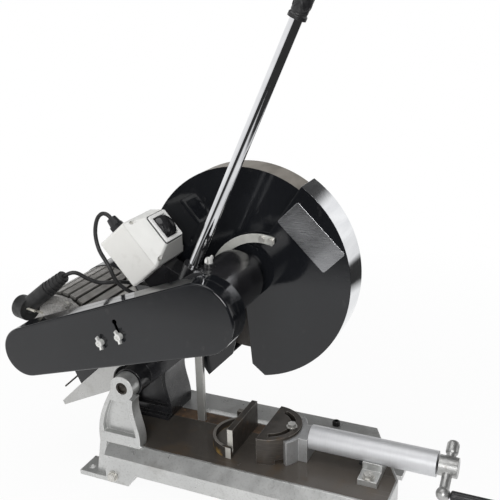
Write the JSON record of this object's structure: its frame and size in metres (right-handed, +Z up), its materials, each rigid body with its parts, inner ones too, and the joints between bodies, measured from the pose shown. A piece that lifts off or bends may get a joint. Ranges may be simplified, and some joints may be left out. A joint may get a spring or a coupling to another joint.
{
  "type": "metal cut-off saw",
  "caption": "Belt-driven abrasive cut-off saw: a pivoting motor arm carries a guarded wheel over a cast base with a slotted bed and a swivelling screw vise.",
  "frame": {"origin": "middle of the four foot holes, on the floor plane", "axes": "+X along the base from the motor end to the vise crank, +Y from the operator's side to the wheel's side, +Z up"},
  "size_m": [0.9875, 0.3847, 1.0157],
  "materials": {
    "grey_paint": "light grey satin paint",
    "black_paint": "black gloss paint",
    "black_casting": "black painted casting",
    "grey_casting": "light grey painted casting",
    "bed_steel": "dark oily ground steel",
    "rusty_steel": "rusted steel",
    "jaw_steel": "dark brown oiled steel",
    "bare_steel": "bare turned steel",
    "zinc": "zinc plated",
    "chrome": "polished chrome",
    "aluminium": "die-cast aluminium",
    "crank_zinc": "cast zinc grey",
    "black_rubber": "matt black rubber",
    "black_plastic": "black plastic",
    "box_plastic": "off-white plastic",
    "white_plastic": "white plastic",
    "abrasive": "resin-bonded abrasive",
    "brass": "brass",
    "copper_core": "laminated core"
  },
  "bodies": {
    "base": {"base_frame": "grey_casting", "bed_plate": "bed_steel", "rear_bed_strip": "rusty_steel", "front_pivot_ear": "grey_casting", "rear_pivot_ear": "black_casting", "pivot_shaft": "bare_steel", "pivot_bushes": "brass", "stop_post": "grey_paint", "apron_bolts": "zinc", "vise_bracket": "grey_casting", "vise_bracket_bolts": "zinc", "fixed_jaw_bolt": "zinc"},
    "left_jaw": {"fixed_jaw": "jaw_steel"},
    "ram": {"ram_head": "grey_casting", "vise_tube": "bare_steel", "moving_jaw_bolt": "zinc"},
    "right_jaw": {"moving_jaw": "jaw_steel"},
    "crank": {"crank_hub": "crank_zinc", "crank_grip": "black_plastic", "vise_screw": "bare_steel"},
    "rotor": {"motor_rotor": "bare_steel", "cooling_fan": "black_plastic", "motor_pulley": "aluminium"},
    "spindle": {"spindle_shaft": "bare_steel", "spindle_pulley": "aluminium", "wheel_flanges": "bare_steel", "cutting_wheel": "abrasive", "spindle_nut": "zinc"},
    "guard": {"moving_wheel_guard": "black_paint", "guard_strap": "zinc", "strap_bolts": "zinc"},
    "rocker": {"switch_rocker": "black_plastic"},
    "arm": {"arm_casting": "black_casting", "wing_screw": "zinc", "motor_plate": "grey_paint", "motor_foot": "black_casting", "motor_housing": "aluminium", "motor_front_shield": "aluminium", "motor_tie_bolts": "zinc", "motor_stator": "copper_core", "motor_bearings": "bare_steel", "fan_cover": "black_paint", "drive_belt": "black_rubber", "spindle_housing": "black_casting", "spindle_bearings": "bare_steel", "fixed_wheel_guard": "black_paint", "belt_guard_cover": "black_paint", "belt_guard_pan": "black_paint", "belt_guard_bolts": "zinc", "handle_tube": "chrome", "handle_grip": "black_rubber", "box_bracket": "black_paint", "switch_box": "box_plastic", "switch_lid": "box_plastic", "lid_screws": "zinc", "switch_bezel": "white_plastic", "cable_gland": "black_plastic", "power_cord": "black_rubber", "plug_body": "black_rubber", "plug_pins": "brass"}
  },
  "joints": [
    {"name": "arm_swing", "type": "hinge", "parent": "base", "child": "arm", "pos_m": [-0.201, -0.02, 0.219], "axis": [0, 1, 0], "range_deg": [0, 40.5], "stiffness_Nm_per_rad": 40, "springref_deg": -20.05},
    {"name": "motor_spin", "type": "hinge", "parent": "arm", "child": "rotor", "pos_m": [-0.37816, 0, 0.29396], "axis": [0, 1, 0], "continuous": true},
    {"name": "spindle_spin", "type": "hinge", "parent": "arm", "child": "spindle", "pos_m": [-0.00211, 0, 0.43605], "axis": [0, 1, 0], "continuous": true},
    {"name": "guard_swing", "type": "hinge", "parent": "arm", "child": "guard", "pos_m": [-0.00211, 0.057, 0.43605], "axis": [0, -1, 0], "range_deg": [0, 100]},
    {"name": "switch_tip", "type": "hinge", "parent": "arm", "child": "rocker", "pos_m": [-0.13447, -0.037, 0.53521], "axis": [0, -1, 0], "range_deg": [0, 8]},
    {"name": "fixed_jaw_swivel", "type": "hinge", "parent": "base", "child": "left_jaw", "pos_m": [0.016, -0.022, 0.088], "axis": [0, 0, 1], "range_deg": [-45, 45]},
    {"name": "vise_slide", "type": "slide", "parent": "base", "child": "ram", "axis": [1, 0, 0], "range_m": [-0.05, 0.085]},
    {"name": "moving_jaw_swivel", "type": "hinge", "parent": "ram", "child": "right_jaw", "pos_m": [0.068, -0.022, 0.088], "axis": [0, 0, 1], "range_deg": [-45, 45]},
    {"name": "crank_turn", "type": "hinge", "parent": "ram", "child": "crank", "pos_m": [0.412, -0.022, 0.131], "axis": [1, 0, 0], "range_deg": [-2999, 5099]}
  ],
  "couplings": [
    {"joint": "spindle_spin", "follows": "motor_spin", "ratio": 1.328},
    {"joint": "guard_swing", "follows": "arm_swing", "ratio": 2.45},
    {"joint": "moving_jaw_swivel", "follows": "fixed_jaw_swivel", "ratio": 1},
    {"joint": "vise_slide", "follows": "crank_turn", "m_per_rad": 0.00095493}
  ]
}
